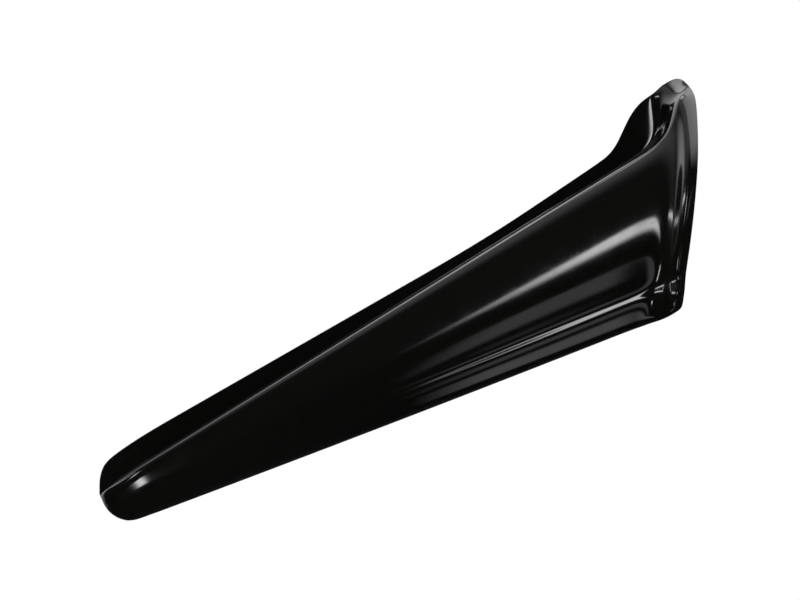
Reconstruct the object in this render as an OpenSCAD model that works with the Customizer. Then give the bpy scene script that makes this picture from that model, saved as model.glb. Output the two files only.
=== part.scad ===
// Rocker panel: one sheet of gloss black plastic, vacuum-formed into a long
// wedge-shaped trough that is open at the back. A flat mounting flange runs
// along its top edge, the narrow nose is rounded, and the wide end opens into
// a flared mouth with a trimmed edge.
//
// X runs along the panel from nose to flare, Y points to the vehicle, Z is up.
// The rear face of the mounting flange lies in the plane Y = 0.

/* [Sheet] */
// Thickness of the formed sheet
wall = 3; // [2:0.25:4]
// Length from the tip of the nose to the furthest point of the flare
length = 984; // [800:4:1300]
// Sheet left behind the plane of the flange by forming, then cut off flush with it
trim = 2; // [1:0.5:3]

/* [Mounting flange] */
// Height of the flange edge above the ridge line at the nose
flange_h = 38; // [32:1:50]
// Radius of the flange outline round the nose
flange_nose_r = 57; // [45:1:70]
// Distance from the nose at which the flange edge starts to rise
kink_x = 640; // [450:10:700]
// Angle of that rise
kink_rise = 4.1; // [0:0.1:5]
// Inner radius left in the corner between flange and top wall
valley_r = 2.5; // [2:0.5:6]

/* [Trough] */
// Angle at which the ridge line rises towards the flare
ridge_rise = 2.08; // [1:0.05:2.3]
// How far the ridge stands out at the nose
ridge_nose_d = 38.5; // [32:0.5:40]
// Angle at which the ridge moves outwards towards the flare
ridge_spread = 1.35; // [1.1:0.05:1.8]
// How far the belly stands out at the nose
belly_nose_d = 39; // [34:1:50]
// Angle at which the belly moves outwards towards the flare
belly_spread = 3.95; // [3:0.05:4.5]
// Height from the flange edge to the rear bottom edge at the nose
nose_h = 93.8; // [85:0.1:105]
// Angle at which the rear bottom edge falls towards the flare
bottom_fall = 8.63; // [8:0.01:10]
// How far that edge bows down at mid-length
bottom_bow = 2.6; // [0:0.2:6]
// Distance from a side to the start of its ridge rounding at the nose
ridge_round = 4.5; // [3:0.5:6]
// How much that distance grows over the length of the panel
ridge_round_gain = 12; // [6:1:20]
// Draft angle of the top wall
draft = 1.5; // [0.5:0.5:3]
// Height that the bottom wall gains from its rear edge to the front
bottom_draft = 6; // [3:0.5:9]
// Distance from the bottom corner to the start of its rounding
bottom_round = 18; // [14:0.5:22]

/* [Nose] */
// Radius of the bottom corner of the nose
nose_r = 43; // [36:1:46]
// Length over which the face rounds back to the tip
nose_run = 60; // [48:2:74]
// How far the ridge drops at the tip
nose_ledge = 9; // [8:0.5:12]

/* [Lower lip] */
// Height from the flange edge to the crest of the lip, carried on to the nose
crest_drop = 68.7; // [64:0.5:74]
// Angle at which the crest falls towards the flare
crest_fall = 7.72; // [7:0.05:8]
// Depth of the groove above the crest at the flare
groove_d = 15; // [6:0.5:20]
// How far the crest stays behind the belly at the flare
crest_back = 6.2; // [4:0.2:9]
// Distance from the nose at which the lip starts
lip_start = 215; // [120:5:350]
// Distance from the nose at which the lip is full
lip_full = 640; // [500:5:700]

/* [Flared end] */
// How far the flared edge stands out beyond the belly
flare_step = 22; // [12:1:32]
// Length over which the face sweeps out to the edge
flare_run = 70; // [56:2:90]
// Height of the lobe above the level part of the flange edge
lobe_h = 61; // [52:0.5:68]
// Distance before the flare's furthest point at which the flange edge starts to climb
climb_from = 136; // [120:2:160]
// Distance before that point at which it is fully up
climb_to = 66; // [50:2:80]
// How far the lobe comes forward of the flange
lobe_d = 62; // [45:1:75]
// Pitch of the swept edge: its lag at 100 mm below the widest point
edge_lag = 66; // [48:1:74]
// Bend of the swept edge, 1 being a straight line
edge_bend = 1.05; // [1:0.01:1.3]
// Height of the furthest point of the edge above the level flange edge
edge_peak = 31; // [22:1:40]
// How far the bottom corner of the edge is rounded off
tail_round = 5; // [3:0.5:7]

/* [Mounting point] */
// Depth of the mounting point below the flange edge
mount_drop = 5; // [3:0.5:7]

/* [Fineness] */
// Facets on each stretch of the form, along the panel
along = 3; // [2:1:4]
// Facets on each stretch of the form, across the panel
across = 2; // [2:1:4]

/* [Hidden] */
// Rows of the form, from the flange edge over the face to the rear bottom edge
VALLEY = 3;
RIDGE = 6;
FACE_TOP = 7;
CREST = 13;
CORNER = 16;
REAR = 18;
// Share of the height from ridge to crest at which rows 8 to 12 lie
face_share = [0.26, 0.47, 0.67, 0.84, 0.945];
// Share at which the face stands out furthest
belly_share = 0.66;
mount_x = length / 2;

function lerp(a, b, t) = a + (b - a) * t;
function clamp(v) = min(1, max(0, v));
function ease(from, to, v) = let (t = clamp((v - from) / (to - from))) t * t * (3 - 2 * t);

// Lines that run the length of the panel, as heights and depths at x
function ridge_z(x) = -flange_h + x * tan(ridge_rise);
function ridge_d(x) = ridge_nose_d + x * tan(ridge_spread);
function crest_z(x) = -crest_drop - x * tan(crest_fall);
function bottom_z(x) = -nose_h - x * tan(bottom_fall) - bottom_bow * sin(180 * x / length);
function belly_d(x) = belly_nose_d + x * tan(belly_spread);
function ridge_reach(x) = ridge_round + ridge_round_gain * x / length;
function valley_z(x) = ridge_z(x) + (ridge_d(x) - wall) * tan(draft);
function lip(x) = ease(lip_start, lip_full, x);
function edge_line(x) = max(0, x - kink_x) * tan(kink_rise);
function edge_z(x) = lerp(edge_line(x), lobe_h - 3, ease(length - climb_from, length - climb_to, x));

// Depth of the face at a share of the height from ridge to crest
function face_d(x, share) =
    let (swell = share < belly_share ? pow(1 - share / belly_share, 2) : 0)
    let (tuck = share > belly_share ? pow((share - belly_share) / (1 - belly_share), 2) : 0)
    lerp(belly_d(x), ridge_d(x), swell) - tuck * lerp(3, groove_d, lip(x));

// Section of the trough at x, as [depth, height] from flange edge to rear edge
function section(x) =
    let (rz = ridge_z(x), rd = ridge_d(x), reach = ridge_reach(x))
    let (cz = crest_z(x), cd = belly_d(x) - lerp(2, crest_back, lip(x)))
    let (bz = bottom_z(x), front = bz + bottom_draft)
    let (vz = valley_z(x), ez = edge_z(x))
    concat(
        [[wall, ez], [wall, lerp(ez, vz + valley_r, 0.5)], [wall, vz + valley_r], [wall, vz]],
        [[wall + valley_r, vz], [rd - reach, rz + reach * tan(draft)], [rd, rz]],
        [[rd + reach * 0.7, rz - reach * 0.7]],
        [for (share = face_share) [face_d(x, share), lerp(rz, cz, share)]],
        [[cd, cz], [cd - 2, lerp(cz, front, 0.4)]],
        [[cd - 5, front + bottom_round * 0.6], [cd - 9, front]],
        [[cd - 9 - bottom_round, front - 1], [-trim, bz]]);

// Outline of the nose seen from the front, by the distance s from its tip
nose_tip = [2.5, -flange_h - 2];
nose_side = nose_h + nose_r * tan(bottom_fall) - nose_r;
function nose_outline(s) =
    let (straight = nose_side + nose_tip.y)
    s < straight ? [lerp(nose_tip.x, 0, s / straight), nose_tip.y - s]
        : let (a = 180 + (s - straight) / nose_r * 180 / PI)
          [nose_r + nose_r * cos(a), -nose_side + nose_r * sin(a)];
nose_turn = nose_side + nose_tip.y + nose_r * 70 * PI / 180;

// Column c of the nose, from the rear edge of its end wall (0) to the face (3):
// how far it lies along the run on the end wall and on the open edges
wall_share = [0, 0.03, 0.2, 1];
open_share = [0, 0.33, 0.66, 1];
nose_depth = [0, 0.42, 0.8, 1];
flange_turn = [158, 143, 128, 112];
function nose_flange(c) =
    [flange_nose_r + 1 + flange_nose_r * cos(flange_turn[c]),
     -flange_nose_r + flange_nose_r * sin(flange_turn[c])];
// Distance along that outline at which row r starts
function nose_way(r) = r < RIDGE ? nose_ledge * (r - VALLEY) / (RIDGE - VALLEY)
    : lerp(nose_ledge, nose_turn, (r - RIDGE) / (REAR - RIDGE));
function nose_wall_point(c, r) =
    let (s = section(nose_run)[r], start = nose_outline(nose_way(r)))
    let (level = min(c, r - VALLEY, REAR - r))
    let (openness = max(0, 1 - min(r - VALLEY, REAR - r) / 2))
    let (share = lerp(wall_share[c], open_share[c], openness))
    let (rise = r <= RIDGE ? open_share[c] : share)
    let (behind = section(nose_run)[RIDGE].x * (1 - nose_depth[c]))
    let (depth = c == 3 ? s.x
        : r > VALLEY && r < RIDGE ? (c == 0 ? wall : max(wall, s.x - behind))
        : level == 0 ? -trim : s.x * nose_depth[level])
    [lerp(start.x, nose_run, share), depth, lerp(start.y, s.y, rise)];
function nose_point(c, r) =
    r >= VALLEY ? let (p = nose_wall_point(c, r)) r == VALLEY ? [p.x, wall, p.z] : p
        : let (a = nose_flange(c), b = nose_wall_point(c, VALLEY), t = r / VALLEY)
          [lerp(a.x, b.x, t), wall, lerp(a.y, b.z, t)];

// Trimmed edge of the flare
function swept_lag(z) = edge_lag * pow((edge_peak - z) / 100, edge_bend);
tail_x = length - flare_run;
flare_d = belly_d(tail_x) + flare_step;
crest_end = crest_z(length - swept_lag(crest_z(tail_x)));
bottom_end = bottom_z(length - swept_lag(bottom_z(tail_x)));

// Lobe at the top of the flare, rows 0 to 7, three columns each: distance short
// of the full length, depth in front of the flange and height, as drawn for a
// lobe 62 deep and 61 high
drawn_lobe = [62, 61];
lobe_net = [
    [[44, 0, 58.5], [34, 2, 61.5], [28, 6, 62.5]],
    [[45, 1, 50], [32, 13, 56], [14, 11, 63]],
    [[45, 5, 40], [30, 25, 50], [5, 16, 60]],
    [[44, 13, 33], [28, 37, 43], [1, 22, 53]],
    [[43, 25, 27], [26, 47, 39], [0, 27, 45]],
    [[42, 43, 24], [23, 55, 39], [0, 34, 39]],
    [[40, 57, 20], [21, 62, 37], [1, 43, 31]],
    [[41, 65, 7], [23, 71, 21], [6, 57, 18]]];
// Distance before the furthest point at which those rows start to turn into it
lobe_start = [129, 126, 122, 116, 114, 110, 108, 106];
function lobe(r, c) = let (p = lobe_net[r][c])
    [p.x, wall + p.y * lobe_d / drawn_lobe.x, p.z * lobe_h / drawn_lobe.y];

// End of a row below the lobe: distance short of the full length, depth, height
function face_end(r) =
    r == REAR ? [swept_lag(bottom_end) + 1.7 * tail_round, -trim, bottom_end + 0.3 * tail_round]
        : r > CORNER ? [swept_lag(bottom_end) + tail_round, flare_d * 0.6, bottom_end + 0.4 * tail_round]
        : r > CREST ? let (z = lerp(crest_end, bottom_end + tail_round, (r - CREST) / (CORNER - CREST)))
            [swept_lag(z), flare_d - 2 * (r - CREST), z]
        : let (share = r == CREST ? 1 : face_share[r - FACE_TOP - 1])
          let (z = lerp(lobe(FACE_TOP, 2).z, crest_end, share))
          [swept_lag(z), section(tail_x)[r].x + flare_step, z];

// Columns of the flare, as shares of the way from its start to the edge: the
// face sweeps out, and rolls back over the last stretch
flare_x = [0, 0.3, 0.52, 0.7, 0.85, 1];
flare_out = [0, 0.03, 0.3, 0.85, 1.05, 0.75];
lobe_x = [0, 0.4, 0.72];
lobe_out = [0, 0.04, 0.3];
function flare_start(r) = length - (r <= FACE_TOP ? lobe_start[r] : face_end(r).x + flare_run);
function flare_between(r, e, along_share, out) =
    let (x = lerp(flare_start(r), length - e.x, along_share))
    let (s = section(x)[r])
    [x, lerp(s.x, e.y, out), lerp(s.y, e.z, min(1, out))];
function flare_point(c, r) =
    r > FACE_TOP ? flare_between(r, face_end(r), flare_x[c], flare_out[c])
        : c < len(lobe_x) ? flare_between(r, lobe(r, 0), lobe_x[c], lobe_out[c])
        : let (p = lobe(r, c - len(lobe_x))) [length - p.x, p.y, p.z];

// Columns of the trough between nose and flare
trough_share = [0.045, 0.11, 0.21, 0.33, 0.45, 0.56, 0.67, 0.77, 0.86, 0.92, 0.965];
function trough_point(c, r) =
    let (x = lerp(nose_run, flare_start(r), trough_share[c]))
    let (s = section(x)[r])
    [x, s.x, s.y];

cage = [for (r = [0:REAR]) concat(
    [for (c = [0:3]) nose_point(c, r)],
    [for (c = [0:len(trough_share) - 1]) trough_point(c, r)],
    [for (c = [0:len(flare_x) - 1]) flare_point(c, r)])];
rows = len(cage);
columns = len(cage[0]);

// A row of points carried on by one at each end, so that the curve reaches both
function carried(list) = let (n = len(list))
    concat([2 * list[0] - list[1]], list, [2 * list[n - 1] - list[n - 2]]);
grid = carried([for (row = cage) carried(row)]);

// Uniform cubic spline: weights at t of a stretch, and their slopes
function weights(t) = [pow(1 - t, 3), 3 * t * t * t - 6 * t * t + 4,
    -3 * t * t * t + 3 * t * t + 3 * t + 1, t * t * t] / 6;
function slopes(t) = [-pow(1 - t, 2), 3 * t * t - 4 * t, -3 * t * t + 2 * t + 1, t * t] / 2;
function stretch(v, count) = min(floor(v), count - 2);
function blend(i, j, wu, wv) = [for (a = [0:3]) wu[a]] * [for (a = [0:3])
    wv[0] * grid[i + a][j] + wv[1] * grid[i + a][j + 1]
    + wv[2] * grid[i + a][j + 2] + wv[3] * grid[i + a][j + 3]];
function skin_point(u, v) =
    let (i = stretch(u, rows), j = stretch(v, columns))
    blend(i, j, weights(u - i), weights(v - j));
// Direction out of the sheet, read a little inside its edges
function outward(u, v) =
    let (a = min(rows - 1.12, max(0.12, u)), b = min(columns - 1.12, max(0.12, v)))
    let (i = stretch(a, rows), j = stretch(b, columns))
    let (along_row = blend(i, j, weights(a - i), slopes(b - j)))
    let (across_row = blend(i, j, slopes(a - i), weights(b - j)))
    let (n = cross(along_row, across_row))
    n / norm(n);

function placed(p) = [p.x - mount_x, -p.y, p.z + mount_drop];
u_steps = (rows - 1) * across;
v_steps = (columns - 1) * along;
front = [for (i = [0:u_steps]) for (j = [0:v_steps]) skin_point(i / across, j / along)];
back = [for (i = [0:u_steps]) for (j = [0:v_steps])
    front[i * (v_steps + 1) + j] - wall * outward(i / across, j / along)];

function at(i, j) = i * (v_steps + 1) + j;
function skin(shift, flip) = [for (i = [0:u_steps - 1]) for (j = [0:v_steps - 1])
    let (a = shift + at(i, j), b = shift + at(i, j + 1))
    let (c = shift + at(i + 1, j + 1), d = shift + at(i + 1, j))
    for (t = flip ? [[a, c, b], [a, d, c]] : [[a, b, c], [a, c, d]]) t];
function rim(path) = let (n = len(front)) [for (k = [0:len(path) - 2])
    for (t = [[path[k], path[k + 1] + n, path[k + 1]], [path[k], path[k] + n, path[k + 1] + n]]) t];

module panel() {
    ring = concat(
        [for (j = [0:v_steps]) at(0, j)],
        [for (i = [1:u_steps]) at(i, v_steps)],
        [for (j = [v_steps - 1:-1:0]) at(u_steps, j)],
        [for (i = [u_steps - 1:-1:0]) at(i, 0)]);
    color("#101012")
    difference() {
        polyhedron(
            points = [for (p = concat(front, back)) placed(p)],
            faces = concat(skin(0, false), skin(len(front), true), rim(ring)),
            convexity = 6);
        // The rear edges are cut off flush with the flange
        translate([-length, 0, -length]) cube([2 * length, 10 * wall, 2 * length]);
    }
}

panel();
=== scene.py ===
"""Looks of the rocker panel: one vacuum-formed sheet of gloss black plastic."""
import math

import bmesh
import bpy
from mathutils import Matrix, Vector


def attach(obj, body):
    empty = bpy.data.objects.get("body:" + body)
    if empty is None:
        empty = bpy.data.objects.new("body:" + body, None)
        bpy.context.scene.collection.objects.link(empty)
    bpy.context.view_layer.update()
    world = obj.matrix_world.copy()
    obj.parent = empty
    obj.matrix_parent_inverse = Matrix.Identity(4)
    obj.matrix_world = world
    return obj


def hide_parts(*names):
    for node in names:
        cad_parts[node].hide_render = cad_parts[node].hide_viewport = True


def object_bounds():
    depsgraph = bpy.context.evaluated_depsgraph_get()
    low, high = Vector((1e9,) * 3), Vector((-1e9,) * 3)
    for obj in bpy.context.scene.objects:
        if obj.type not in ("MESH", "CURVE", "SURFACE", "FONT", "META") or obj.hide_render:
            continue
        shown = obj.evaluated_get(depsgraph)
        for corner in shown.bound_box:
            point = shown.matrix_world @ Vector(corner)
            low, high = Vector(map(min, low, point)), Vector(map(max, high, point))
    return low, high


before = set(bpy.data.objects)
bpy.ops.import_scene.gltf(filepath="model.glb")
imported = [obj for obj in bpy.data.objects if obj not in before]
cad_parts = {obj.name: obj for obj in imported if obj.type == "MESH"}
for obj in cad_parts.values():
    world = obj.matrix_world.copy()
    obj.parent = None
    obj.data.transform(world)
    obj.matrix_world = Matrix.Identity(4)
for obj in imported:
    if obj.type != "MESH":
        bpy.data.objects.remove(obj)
cad_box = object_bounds()

# One millimetre in the frame
MM = 0.001

# Sizes of the panel in millimetres and degrees, as in the source of the solid
WALL = 3.0
TRIM = 2.0
REAR_GAP = 0.02  # keeps the flange's rear face just clear of the cut at the mount plane
LENGTH = 984.0
FLANGE_H = 38.0
FLANGE_NOSE_R = 57.0
KINK_X = 640.0
KINK_RISE = 4.1
VALLEY_R = 2.5
RIDGE_RISE = 2.08
RIDGE_NOSE_D = 38.5
RIDGE_SPREAD = 1.35
BELLY_NOSE_D = 39.0
BELLY_SPREAD = 3.95
NOSE_H = 93.8
BOTTOM_FALL = 8.63
BOTTOM_BOW = 2.6
RIDGE_ROUND = 4.5
RIDGE_ROUND_GAIN = 12.0
DRAFT = 1.5
BOTTOM_DRAFT = 6.0
BOTTOM_ROUND = 18.0
NOSE_R = 43.0
NOSE_RUN = 60.0
CREST_DROP = 68.7
CREST_FALL = 7.72
GROOVE_D = 15.0
CREST_BACK = 6.2
LIP_START = 215.0
LIP_FULL = 640.0
FLARE_STEP = 22.0
FLARE_RUN = 70.0
LOBE_H = 61.0
EDGE_LAG = 66.0
EDGE_BEND = 1.05
EDGE_PEAK = 31.0
CLIMB_FROM = 136.0  # the flange's edge climbs to the lobe between these distances short of the length
CLIMB_TO = 66.0
LOBE_MARGIN = 3.0
TOP_TUCK = 3.0  # how far the face falls back at the crest, where the crease has faded out
CREST_LEAN = 2.0
BOTTOM_LEAN = 5.0
BOTTOM_BACK = 9.0
BOTTOM_DIP = 1.0
TAIL_ROUND = 5.0
TURN_IN = 2.0  # how far the trimmed edge falls back from row to row below the crest
MOUNT_DROP = 5.0

# Rows of the form, from the flange edge over the face to the rear bottom edge
VALLEY = 3
RIDGE = 6
FACE_TOP = 7
CREST = 13
CORNER = 16
REAR = 18

# Shares: the face's rows between ridge and crest, the place of its fullest belly, the ridge's rounding
# forward and down, the row below the crest, and the row where the bottom's rounding starts
FACE_SHARE = (0.26, 0.47, 0.67, 0.84, 0.945)
BELLY_SHARE = 0.66
SHOULDER_SHARE = 0.7
LOWER_SHARE = 0.4
CORNER_SHARE = 0.6


def tan(angle):
    return math.tan(math.radians(angle))


def lerp(a, b, t):
    return a + (b - a) * t


def ease(start, end, value):
    t = min(1.0, max(0.0, (value - start) / (end - start)))
    return t * t * (3 - 2 * t)


def lip(x):
    return ease(LIP_START, LIP_FULL, x)


def edge_height(x):
    rise = max(0.0, x - KINK_X) * tan(KINK_RISE)
    return lerp(rise, LOBE_H - LOBE_MARGIN, ease(LENGTH - CLIMB_FROM, LENGTH - CLIMB_TO, x))


def belly_depth(x):
    return BELLY_NOSE_D + x * tan(BELLY_SPREAD)


def ridge_depth(x):
    return RIDGE_NOSE_D + x * tan(RIDGE_SPREAD)


def ridge_height(x):
    return -FLANGE_H + x * tan(RIDGE_RISE)


def crest_height(x):
    return -CREST_DROP - x * tan(CREST_FALL)


def bottom_height(x):
    return -NOSE_H - x * tan(BOTTOM_FALL) - BOTTOM_BOW * math.sin(math.pi * x / LENGTH)


def face_depth(x, share):
    swell = max(0.0, 1 - share / BELLY_SHARE) ** 2
    tuck = max(0.0, (share - BELLY_SHARE) / (1 - BELLY_SHARE)) ** 2
    return lerp(belly_depth(x), ridge_depth(x), swell) - tuck * lerp(TOP_TUCK, GROOVE_D, lip(x))


def section(x):
    """Depth and height of every row, on a cut through the trough at x."""
    ridge_z, ridge_d = ridge_height(x), ridge_depth(x)
    reach = RIDGE_ROUND + RIDGE_ROUND_GAIN * x / LENGTH
    crest_z = crest_height(x)
    crest_d = belly_depth(x) - lerp(CREST_LEAN, CREST_BACK, lip(x))
    rear_z = bottom_height(x)
    front_z = rear_z + BOTTOM_DRAFT
    valley_z = ridge_z + (ridge_d - WALL) * tan(DRAFT)
    edge_z = edge_height(x)
    points = [
        (WALL, edge_z),
        (WALL, lerp(edge_z, valley_z + VALLEY_R, 0.5)),
        (WALL, valley_z + VALLEY_R),
        (WALL, valley_z),
        (WALL + VALLEY_R, valley_z),
        (ridge_d - reach, ridge_z + reach * tan(DRAFT)),
        (ridge_d, ridge_z),
        (ridge_d + reach * SHOULDER_SHARE, ridge_z - reach * SHOULDER_SHARE),
    ]
    points += [(face_depth(x, share), lerp(ridge_z, crest_z, share)) for share in FACE_SHARE]
    points += [
        (crest_d, crest_z),
        (crest_d - CREST_LEAN, lerp(crest_z, front_z, LOWER_SHARE)),
        (crest_d - BOTTOM_LEAN, front_z + BOTTOM_ROUND * CORNER_SHARE),
        (crest_d - BOTTOM_BACK, front_z),
        (crest_d - BOTTOM_BACK - BOTTOM_ROUND, front_z - BOTTOM_DIP),
        (-TRIM, rear_z),
    ]
    return points


# Nose, four columns: its tip as a place on the outline, and how much of each column is wall or open sheet
NOSE_END = 3
NOSE_TIP = (2.5, -FLANGE_H - 2)
NOSE_SIDE = NOSE_H + NOSE_R * tan(BOTTOM_FALL) - NOSE_R
NOSE_STRAIGHT = NOSE_SIDE + NOSE_TIP[1]
NOSE_LEDGE = 9.0
NOSE_ARC = 70
NOSE_TURN = NOSE_STRAIGHT + NOSE_R * math.radians(NOSE_ARC)
WALL_SHARE = (0, 0.03, 0.2, 1)
OPEN_SHARE = (0, 0.33, 0.66, 1)
NOSE_DEPTH = (0, 0.42, 0.8, 1)
FLANGE_TURN = (158, 143, 128, 112)
FLANGE_START = 1.0
OPEN_ROWS = 2


def nose_outline(s):
    if s < NOSE_STRAIGHT:
        return lerp(NOSE_TIP[0], 0, s / NOSE_STRAIGHT), NOSE_TIP[1] - s
    angle = math.pi + (s - NOSE_STRAIGHT) / NOSE_R
    return NOSE_R + NOSE_R * math.cos(angle), -NOSE_SIDE + NOSE_R * math.sin(angle)


def nose_wall(column, row):
    depth, height = section(NOSE_RUN)[row]
    if row < RIDGE:
        way = NOSE_LEDGE * (row - VALLEY) / (RIDGE - VALLEY)
    else:
        way = lerp(NOSE_LEDGE, NOSE_TURN, (row - RIDGE) / (REAR - RIDGE))
    start_x, start_z = nose_outline(way)
    level = min(column, row - VALLEY, REAR - row)
    openness = max(0, 1 - min(row - VALLEY, REAR - row) / OPEN_ROWS)
    share = lerp(WALL_SHARE[column], OPEN_SHARE[column], openness)
    if column < NOSE_END and VALLEY < row < RIDGE:
        behind = section(NOSE_RUN)[RIDGE][0] * (1 - NOSE_DEPTH[column])
        depth = max(WALL, depth - behind) if column else WALL
    elif column < NOSE_END:
        depth = depth * NOSE_DEPTH[level] if level else -TRIM
    rise = OPEN_SHARE[column] if row <= RIDGE else share
    return lerp(start_x, NOSE_RUN, share), depth, lerp(start_z, height, rise)


def nose_point(column, row):
    x, depth, z = nose_wall(column, max(row, VALLEY))
    if row > VALLEY:
        return x, depth, z
    angle = math.radians(FLANGE_TURN[column])
    edge_x = FLANGE_NOSE_R + FLANGE_START + FLANGE_NOSE_R * math.cos(angle)
    edge_z = -FLANGE_NOSE_R + FLANGE_NOSE_R * math.sin(angle)
    return lerp(edge_x, x, row / VALLEY), WALL, lerp(edge_z, z, row / VALLEY)


SWEEP_H = 100.0


def swept_lag(z):
    """How far the trimmed edge lies short of the full length at a height."""
    return EDGE_LAG * ((EDGE_PEAK - z) / SWEEP_H) ** EDGE_BEND


# Flare: where it starts and ends, and each column's share of its length and of its step outwards
TAIL_X = LENGTH - FLARE_RUN
FLARE_D = belly_depth(TAIL_X) + FLARE_STEP
CREST_END = crest_height(LENGTH - swept_lag(crest_height(TAIL_X)))
BOTTOM_END = bottom_height(LENGTH - swept_lag(bottom_height(TAIL_X)))
FLARE_X = (0, 0.3, 0.52, 0.7, 0.85, 1)
FLARE_OUT = (0, 0.03, 0.3, 0.85, 1.05, 0.75)
# Rows 0 to 7 of the lobe, its last three columns each: distance short of the full length, depth, height
LOBE = (
    ((44, 3, 58.5), (34, 5, 61.5), (28, 9, 62.5)),
    ((45, 4, 50), (32, 16, 56), (14, 14, 63)),
    ((45, 8, 40), (30, 28, 50), (5, 19, 60)),
    ((44, 16, 33), (28, 40, 43), (1, 25, 53)),
    ((43, 28, 27), (26, 50, 39), (0, 30, 45)),
    ((42, 46, 24), (23, 58, 39), (0, 37, 39)),
    ((40, 60, 20), (21, 65, 37), (1, 46, 31)),
    ((41, 68, 7), (23, 74, 21), (6, 60, 18)),
)
LOBE_COLUMN = 3
LOBE_START = (129, 126, 122, 116, 114, 110, 108, 106)
LOBE_X = (0, 0.4, 0.72)
LOBE_OUT = (0, 0.04, 0.3)
# Last two rows of the trimmed edge: what each adds to the lag, its depth, and what it adds to the height
UNDER_END = (TAIL_ROUND, FLARE_D * 0.6, 0.4 * TAIL_ROUND)
REAR_END = (1.7 * TAIL_ROUND, -TRIM, 0.3 * TAIL_ROUND)


def face_end(row):
    """Trimmed edge at a row below the lobe: distance short of the full length, depth, height."""
    if row > CORNER:
        lag, depth, rise = REAR_END if row == REAR else UNDER_END
        return swept_lag(BOTTOM_END) + lag, depth, BOTTOM_END + rise
    if row > CREST:
        z = lerp(CREST_END, BOTTOM_END + TAIL_ROUND, (row - CREST) / (CORNER - CREST))
        return swept_lag(z), FLARE_D - TURN_IN * (row - CREST), z
    share = 1 if row == CREST else FACE_SHARE[row - FACE_TOP - 1]
    z = lerp(LOBE[FACE_TOP][2][2], CREST_END, share)
    return swept_lag(z), section(TAIL_X)[row][0] + FLARE_STEP, z


def flare_start(row):
    if row <= FACE_TOP:
        return LENGTH - LOBE_START[row]
    return LENGTH - face_end(row)[0] - FLARE_RUN


def flare_point(column, row):
    start = flare_start(row)
    if row <= FACE_TOP:
        lag, depth, height = LOBE[row][max(0, column - LOBE_COLUMN)]
        if column >= LOBE_COLUMN:
            return LENGTH - lag, depth, height
        x, out = lerp(start, LENGTH - lag, LOBE_X[column]), LOBE_OUT[column]
    else:
        lag, depth, height = face_end(row)
        x, out = lerp(start, LENGTH - lag, FLARE_X[column]), FLARE_OUT[column]
    d, z = section(x)[row]
    return x, lerp(d, depth, out), lerp(z, height, min(1, out))


TROUGH_SHARE = (0.045, 0.11, 0.21, 0.33, 0.45, 0.56, 0.67, 0.77, 0.86, 0.92, 0.965)


def trough_point(column, row):
    x = lerp(NOSE_RUN, flare_start(row), TROUGH_SHARE[column])
    d, z = section(x)[row]
    return x, d, z


def form_row(row):
    points = [nose_point(column, row) for column in range(NOSE_END + 1)]
    points += [trough_point(column, row) for column in range(len(TROUGH_SHARE))]
    points += [flare_point(column, row) for column in range(len(FLARE_X))]
    return points


# The mesh: smoothing of the form, the angle below which faces shade smooth, and the finishes' slots
SMOOTH_LEVELS = 3
SMOOTH_ANGLE = 40
REAR_SLOT = 1
EDGE_SLOT = 2


def placed(point):
    x, depth, z = point
    return Vector((x - LENGTH / 2, -depth, z + MOUNT_DROP)) * MM


def deselect():
    bpy.ops.object.select_all(action="DESELECT")


def apply_modifier(piece, name, kind, **settings):
    modifier = piece.modifiers.new(name, kind)
    for key, value in settings.items():
        setattr(modifier, key, value)
    bpy.ops.object.modifier_apply(modifier=name)


def grid_points(piece, columns, rows):
    """Index of each point of the flat grid of size 1, found by its place, under its column and row."""
    return {(round((point.co.x + 0.5) * (columns - 1)), round((point.co.y + 0.5) * (rows - 1))): point.index
            for point in piece.data.vertices}


def pull_to(piece, index, place):
    """Selects one point and moves it to its place."""
    bpy.ops.mesh.select_all(action="DESELECT")
    mesh = bmesh.from_edit_mesh(piece.data)
    mesh.verts.ensure_lookup_table()
    point = mesh.verts[index]
    point.select = True
    way = place - point.co
    bmesh.update_edit_mesh(piece.data)
    bpy.ops.transform.translate(value=way)


def trim_sheet(place, direction):
    """Cuts off what lies beyond a plane and closes the cut."""
    bpy.ops.mesh.select_all(action="SELECT")
    bpy.ops.mesh.bisect(plane_co=place, plane_no=direction, clear_outer=True, use_fill=True,
                        threshold=0.001 * MM)


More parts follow.
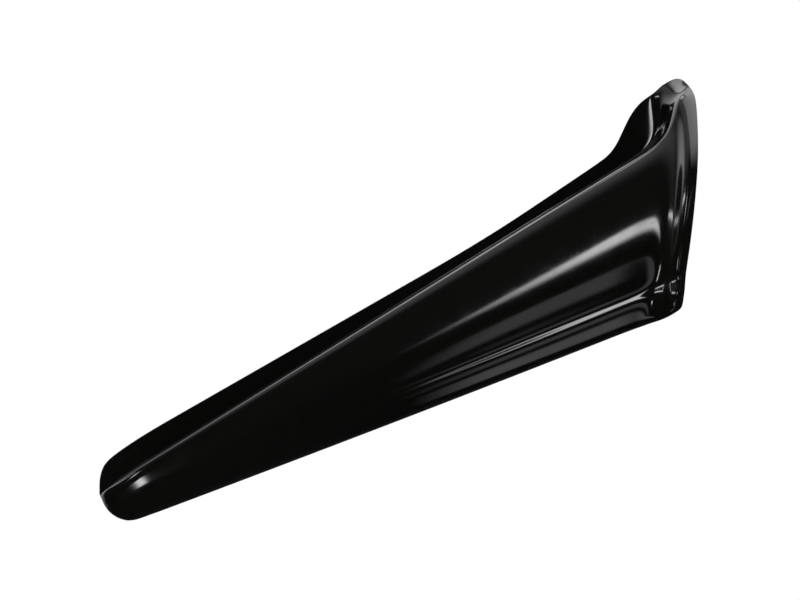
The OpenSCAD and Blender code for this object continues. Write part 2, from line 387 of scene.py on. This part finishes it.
def formed_sheet():
    """The sheet: a grid pulled to the form's rows, smoothed, thickened and trimmed flush."""
    rows = [form_row(row) for row in range(REAR + 1)]
    columns = len(rows[0])
    deselect()
    bpy.ops.mesh.primitive_grid_add(
        x_subdivisions=columns - 1, y_subdivisions=len(rows) - 1, size=1, location=(0, 0, 0))
    piece = bpy.context.object
    piece.name = "formed_panel"
    for material in (gloss_black_abs(), satin_black_abs(), routed_abs_edge()):  # face, rear, edge
        piece.data.materials.append(material)
    found = grid_points(piece, columns, len(rows))
    bpy.ops.object.mode_set(mode="EDIT")
    for row, points in enumerate(rows):
        for column, point in enumerate(points):
            pull_to(piece, found[column, row], placed(point))
    bpy.ops.mesh.select_all(action="SELECT")
    bpy.ops.mesh.flip_normals()
    bpy.ops.object.mode_set(mode="OBJECT")
    apply_modifier(piece, "smooth_form", "SUBSURF", levels=SMOOTH_LEVELS, render_levels=SMOOTH_LEVELS,
                   boundary_smooth="PRESERVE_CORNERS")
    apply_modifier(piece, "sheet_thickness", "SOLIDIFY", thickness=(WALL - REAR_GAP) * MM, offset=-1,
                   material_offset=REAR_SLOT, material_offset_rim=EDGE_SLOT)
    bpy.ops.object.mode_set(mode="EDIT")
    trim_sheet((0, 0, 0), (0, 1, 0))
    piece.active_material_index = EDGE_SLOT
    bpy.ops.object.material_slot_assign()
    trim_sheet((0, 0, cad_box[1][2]), (0, 0, 1))
    bpy.ops.object.mode_set(mode="OBJECT")
    bpy.ops.object.shade_smooth_by_angle(angle=math.radians(SMOOTH_ANGLE))
    return piece


def srgb(code):
    """Linear colour of an sRGB hex value."""
    parts = [int(code[i:i + 2], 16) / 255 for i in (1, 3, 5)]
    linear = [p / 12.92 if p <= 0.04045 else ((p + 0.055) / 1.055) ** 2.4 for p in parts]
    return (*linear, 1.0)


def node(tree, kind, settings=None, links=None):
    """Adds a node, sets its properties and inputs, links its inputs, and gives its outputs. An input
    or output whose name isn't the only one of its kind goes by its number: 6 and 7 are a Mix's colours."""
    made = tree.nodes.new(kind)
    for key, value in (settings or {}).items():
        if isinstance(key, int) or key in made.inputs:
            made.inputs[key].default_value = value
        else:
            setattr(made, key, value)
    for key, output in (links or {}).items():
        tree.links.new(output, made.inputs[key])
    return made.outputs


def new_material(name):
    material = bpy.data.materials.new(name)
    material.use_nodes = True
    material.node_tree.nodes.clear()
    return material, material.node_tree


# Sizes of the finishes' patterns in millimetres
ABS_IOR = 1.53
SPECK_SPACING = 11.0
SPECK_RADII = (0.05, 0.03)  # shares of the spacing: about 1 mm wide, as coarse as they need to be to show
DUST_PATCH = 60.0
HAIRLINE = (42.0, 0.7, 1.05)  # wider than real ones, which are too fine to show
WIPED_PATCH = 90.0
SHEEN_PATCH = 25.0
SHEET_WAVE, SHEET_WAVE_DEPTH = 70.0, 0.6
SURFACE_PEEL, SURFACE_PEEL_DEPTH = 3.5, 0.01
DRAWN_MARK = (72.0, 12.0, 12.0)
REAR_GRAIN, REAR_GRAIN_DEPTH = 0.8, 0.03
CUTTER_MARK, CUTTER_MARK_DEPTH = (0.9, 7.2, 0.9), 0.05


def gloss_black_abs():
    """Vacuum-formed gloss black ABS, the side away from the mould: a deep black with sharp,
    slightly wavy reflections, fine wiping hairlines along the panel and a few specks of dust."""
    material, tree = new_material("vacuum_formed_gloss_black_abs")
    place = node(tree, "ShaderNodeTexCoord")["Object"]

    # Single specks of dust, in patches
    specks = node(tree, "ShaderNodeTexVoronoi", {"Scale": 1 / (SPECK_SPACING * MM)}, {"Vector": place})
    specks = node(tree, "ShaderNodeMapRange", {"From Min": SPECK_RADII[0], "From Max": SPECK_RADII[1]},
                  {"Value": specks["Distance"]})[0]
    dusty = node(tree, "ShaderNodeTexNoise", {"Scale": 1 / (DUST_PATCH * MM), "Detail": 3},
                 {"Vector": place})[0]
    dusty = node(tree, "ShaderNodeMapRange", {"From Min": 0.5, "From Max": 0.6}, {"Value": dusty})[0]
    dust = node(tree, "ShaderNodeMath", {"operation": "MULTIPLY"}, {0: specks, 1: dusty})[0]

    # Hairlines from wiping, where the sheet was wiped
    along = node(tree, "ShaderNodeMapping", {"Scale": [1 / (size * MM) for size in HAIRLINE]},
                 {"Vector": place})[0]
    hairs = node(tree, "ShaderNodeTexNoise", {"Scale": 1, "Detail": 1}, {"Vector": along})[0]
    hairs = node(tree, "ShaderNodeMapRange", {"From Min": 0.66, "From Max": 0.74}, {"Value": hairs})[0]
    wiped = node(tree, "ShaderNodeTexNoise", {"Scale": 1 / (WIPED_PATCH * MM)}, {"Vector": place})[0]
    wiped = node(tree, "ShaderNodeMapRange", {"From Min": 0.45, "From Max": 0.62}, {"Value": wiped})[0]
    hairs = node(tree, "ShaderNodeMath", {"operation": "MULTIPLY"}, {0: hairs, 1: wiped})[0]

    # Gloss that varies a little, and is duller on hairlines and dust
    sheen = node(tree, "ShaderNodeTexNoise", {"Scale": 1 / (SHEEN_PATCH * MM), "Detail": 3},
                 {"Vector": place})[0]
    sheen = node(tree, "ShaderNodeMapRange",
                 {"From Min": 0.35, "From Max": 0.65, "To Min": 0.085, "To Max": 0.12}, {"Value": sheen})[0]
    dull = node(tree, "ShaderNodeMath", {"operation": "MULTIPLY_ADD", 1: 0.14}, {0: hairs, 2: sheen})[0]
    dull = node(tree, "ShaderNodeMath", {"operation": "MULTIPLY_ADD", 1: 0.5}, {0: dust, 2: dull})[0]
    colour = node(tree, "ShaderNodeMix", {"data_type": "RGBA", 6: srgb("#0a0a09"), 7: srgb("#4a4844")},
                  {0: dust})[2]

    # Slow waves of the drawn sheet, and the fine peel of its surface
    wave = node(tree, "ShaderNodeTexNoise", {"Scale": 1 / (SHEET_WAVE * MM), "Detail": 1},
                {"Vector": place})[0]
    wave = node(tree, "ShaderNodeBump", {"Strength": 0.15, "Distance": SHEET_WAVE_DEPTH * MM},
                {"Height": wave})[0]
    peel = node(tree, "ShaderNodeTexNoise", {"Scale": 1 / (SURFACE_PEEL * MM), "Detail": 1},
                {"Vector": place})[0]
    peel = node(tree, "ShaderNodeBump", {"Strength": 0.25, "Distance": SURFACE_PEEL_DEPTH * MM},
                {"Height": peel, "Normal": wave})[0]
    shader = node(tree, "ShaderNodeBsdfPrincipled", {"IOR": ABS_IOR},
                  {"Base Color": colour, "Roughness": dull, "Normal": peel})[0]
    node(tree, "ShaderNodeOutputMaterial", links={"Surface": shader})
    return material


def satin_black_abs():
    """The rear of the same sheet, which lay against the mould: satin and slightly grainy,
    with faint marks drawn out along the panel."""
    material, tree = new_material("satin_rear_of_black_abs")
    place = node(tree, "ShaderNodeTexCoord")["Object"]
    along = node(tree, "ShaderNodeMapping", {"Scale": [1 / (size * MM) for size in DRAWN_MARK]},
                 {"Vector": place})[0]
    marks = node(tree, "ShaderNodeTexNoise", {"Scale": 1, "Detail": 3}, {"Vector": along})[0]
    marks = node(tree, "ShaderNodeMapRange", {"From Min": 0.3, "From Max": 0.7}, {"Value": marks})[0]
    colour = node(tree, "ShaderNodeMix", {"data_type": "RGBA", 6: srgb("#0d0d0d"), 7: srgb("#171716")},
                  {0: marks})[2]
    dull = node(tree, "ShaderNodeMapRange", {"To Min": 0.34, "To Max": 0.5}, {"Value": marks})[0]
    grain = node(tree, "ShaderNodeTexNoise", {"Scale": 1 / (REAR_GRAIN * MM), "Detail": 3},
                 {"Vector": place})[0]
    grain = node(tree, "ShaderNodeBump", {"Strength": 0.5, "Distance": REAR_GRAIN_DEPTH * MM},
                 {"Height": grain})[0]
    shader = node(tree, "ShaderNodeBsdfPrincipled", {"IOR": ABS_IOR},
                  {"Base Color": colour, "Roughness": dull, "Normal": grain})[0]
    node(tree, "ShaderNodeOutputMaterial", links={"Surface": shader})
    return material


def routed_abs_edge():
    """The trimmed edge: a routed cut, greyer than the skins, with fine cutter marks across the sheet."""
    material, tree = new_material("routed_edge_of_black_abs")
    place = node(tree, "ShaderNodeTexCoord")["Object"]
    across = node(tree, "ShaderNodeMapping", {"Scale": [1 / (size * MM) for size in CUTTER_MARK]},
                  {"Vector": place})[0]
    cuts = node(tree, "ShaderNodeTexNoise", {"Scale": 1}, {"Vector": across})[0]
    shade = node(tree, "ShaderNodeMapRange", {"From Min": 0.35, "From Max": 0.65}, {"Value": cuts})[0]
    colour = node(tree, "ShaderNodeMix", {"data_type": "RGBA", 6: srgb("#121212"), 7: srgb("#242423")},
                  {0: shade})[2]
    relief = node(tree, "ShaderNodeBump", {"Strength": 0.6, "Distance": CUTTER_MARK_DEPTH * MM},
                  {"Height": cuts})[0]
    shader = node(tree, "ShaderNodeBsdfPrincipled", {"IOR": ABS_IOR, "Roughness": 0.5},
                  {"Base Color": colour, "Normal": relief})[0]
    node(tree, "ShaderNodeOutputMaterial", links={"Surface": shader})
    return material


sheet = formed_sheet()
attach(sheet, "root")
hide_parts("panel")


# Studio: places and sizes in metres, strengths as shares of white
FLOOR_Z = -0.26
CARD_Z = -0.255
FLOOR_SIZE = 6.0
GLOSS_FLOOR_LEVEL = 0.01
PLAIN_LIGHT = 0.5
WINDOW_WAY = (0.72, 0, 0.69)


def pale_floor():
    """White to the camera and through glass; in the gloss it shows as the dim floor of a dark studio."""
    material, tree = new_material("white_studio_floor")
    rays = node(tree, "ShaderNodeLightPath")
    seen = node(tree, "ShaderNodeMath", {"operation": "MAXIMUM"},
                {0: rays["Is Camera Ray"], 1: rays["Is Transmission Ray"]})[0]
    white = node(tree, "ShaderNodeEmission", {"Strength": 1})[0]
    dim = node(tree, "ShaderNodeEmission", {"Strength": GLOSS_FLOOR_LEVEL})[0]
    plain = node(tree, "ShaderNodeBsdfDiffuse", {"Color": srgb("#f4f4f4")})[0]
    lit = node(tree, "ShaderNodeMixShader", links={0: rays["Is Glossy Ray"], 1: plain, 2: dim})[0]
    shown = node(tree, "ShaderNodeMixShader", links={0: seen, 1: lit, 2: white})[0]
    node(tree, "ShaderNodeOutputMaterial", links={"Surface": shown})
    return material


def lamp_cloth(name, strength, fades):
    """Glowing cloth that fades towards its left, right, lower and upper edge, by shares of its size."""
    material, tree = new_material(name + "_cloth")
    place = node(tree, "ShaderNodeTexCoord")["UV"]
    parts = node(tree, "ShaderNodeSeparateXYZ", links={0: place})
    left, right, lower, upper = [
        node(tree, "ShaderNodeMapRange",
             {"From Min": edge, "From Max": abs(edge - fade), "interpolation_type": "SMOOTHSTEP"},
             {"Value": parts[axis]})[0]
        for axis, edge, fade in zip("XXYY", (0, 1, 0, 1), fades)]
    power = node(tree, "ShaderNodeMath", {"operation": "MULTIPLY", 1: strength}, {0: left})[0]
    for side in (right, lower, upper):
        power = node(tree, "ShaderNodeMath", {"operation": "MULTIPLY"}, {0: side, 1: power})[0]
    glow = node(tree, "ShaderNodeEmission", links={"Strength": power})[0]
    node(tree, "ShaderNodeOutputMaterial", links={"Surface": glow})
    return material


def softbox(name, place, target, size, strength, fades, left_edge=(1, 0)):
    """A lamp behind cloth, turned to its target. The left edge takes a share of the height and a rise."""
    deselect()
    bpy.ops.mesh.primitive_plane_add(size=1, location=place)
    box = bpy.context.object
    box.name = name
    box.rotation_euler = (Vector(target) - Vector(place)).to_track_quat("-Z", "Y").to_euler()
    box.scale = (*size, 1)
    for corner in box.data.vertices:
        if corner.co.x < 0:
            corner.co.y = corner.co.y * left_edge[0] + left_edge[1]
    box.data.materials.append(lamp_cloth(name, strength, fades))
    box.visible_camera = False


def floor_card(name, left, right, front, back, strength, fades):
    """A softbox that lies just above the floor."""
    middle = ((left + right) / 2, (front + back) / 2)
    softbox(name, (*middle, CARD_Z), (*middle, -1), (right - left, back - front), strength, fades)


def studio_world():
    """White to the camera and through glass. The gloss shows a glow behind, on the ceiling and to the
    upper right, and diffuse surfaces see a plain light from all sides."""
    world = bpy.data.worlds.new("studio")
    bpy.context.scene.world = world
    world.use_nodes = True
    tree = world.node_tree
    tree.nodes.clear()
    rays = node(tree, "ShaderNodeLightPath")
    way = node(tree, "ShaderNodeTexCoord")["Generated"]
    parts = node(tree, "ShaderNodeSeparateXYZ", links={0: way})
    window = node(tree, "ShaderNodeVectorMath", {"operation": "DOT_PRODUCT", 1: WINDOW_WAY}, {0: way})
    # Each glow grows smoothly between two values of the direction, and from one level to another
    rear, upper, ceiling, upper_right = [
        node(tree, "ShaderNodeMapRange",
             {"From Min": start, "From Max": end, "To Min": low, "To Max": high,
              "interpolation_type": "SMOOTHSTEP"}, {"Value": value})[0]
        for value, start, end, low, high in (
            (parts["Y"], 0.1, 0.6, 0.02, 1),
            (parts["Z"], -0.15, 0.7, 0.15, 1.6),
            (parts["Z"], 0.72, 1, 0, 0.7),
            (window["Value"], 0.6, 0.9, 0, 2.5))]
    behind = node(tree, "ShaderNodeMath", {"operation": "MULTIPLY"}, {0: rear, 1: upper})[0]
    plain = node(tree, "ShaderNodeMath", {"operation": "MULTIPLY", 1: PLAIN_LIGHT},
                 {0: rays["Is Diffuse Ray"]})[0]
    level = rays["Is Camera Ray"]
    for glow in (rays["Is Transmission Ray"], behind, ceiling, upper_right, plain):
        level = node(tree, "ShaderNodeMath", {"operation": "MAXIMUM"}, {0: level, 1: glow})[0]
    backdrop = node(tree, "ShaderNodeBackground", {"Color": (1, 1, 1, 1)}, {"Strength": level})[0]
    node(tree, "ShaderNodeOutputWorld", links={"Surface": backdrop})


deselect()
bpy.ops.mesh.primitive_plane_add(size=FLOOR_SIZE, location=(0, 0, FLOOR_Z))
floor = bpy.context.object
floor.name = "studio_floor"
floor.data.materials.append(pale_floor())

SOFT_EDGES = (0.3, 0.3, 0.3, 0.3)
softbox("strip_softbox", (0.08, -1.25, 0.32), (0.08, 0, 0.32), (0.56, 0.3), 11,
        (0.85, 0.05, 0.45, 0.2), left_edge=(0.25, -0.36))
softbox("nose_softbox", (-0.87, -1.2, 0.12), (-0.42, -0.05, -0.04), (0.16, 0.24), 15, SOFT_EDGES)
softbox("far_left_softbox", (-1.63, -0.64, 2.08), (0.383, -0.1, -0.08), (2.2, 0.14), 14,
        (0.2, 0.2, 0.3, 0.3))
softbox("back_right_softbox", (0.75, 0.3, 1.2), (0.47, -0.03, 0.03), (1.0, 0.9), 4, SOFT_EDGES)
floor_card("far_card", -0.15, 0.27, -1.25, -0.28, 0.7, (0.5, 0.1, 0.4, 0.11))
floor_card("near_card", -0.1, 0.27, -0.25, -0.11, 1.1, (0.4, 0.12, 0.4, 0.3))
floor_card("right_card", 0.55, 1.15, -1.15, -0.35, 0.7, (0.4, 0.4, 0.4, 0.4))
studio_world()

# Camera: at the object's height, straight in front of it, and turned about its own axis as in the photo
CAMERA_LENS = 104.0
CAMERA_SENSOR = 36.0
CAMERA_DISTANCE = 3.134
CAMERA_ROLL = 29.8
CAMERA_AIM = Vector((0.0035, -0.06, -0.0096))
camera_data = bpy.data.cameras.new("camera")
camera_data.lens = CAMERA_LENS
camera_data.sensor_width = CAMERA_SENSOR
camera = bpy.data.objects.new("camera", camera_data)
bpy.context.scene.collection.objects.link(camera)
roll = Matrix.Rotation(math.radians(-CAMERA_ROLL), 4, "Z")
upright = Matrix.Rotation(math.radians(90), 4, "X")
camera.matrix_world = Matrix.Translation(CAMERA_AIM - Vector((0, CAMERA_DISTANCE, 0))) @ upright @ roll
bpy.context.scene.camera = camera
bpy.context.scene.view_settings.view_transform = "Standard"
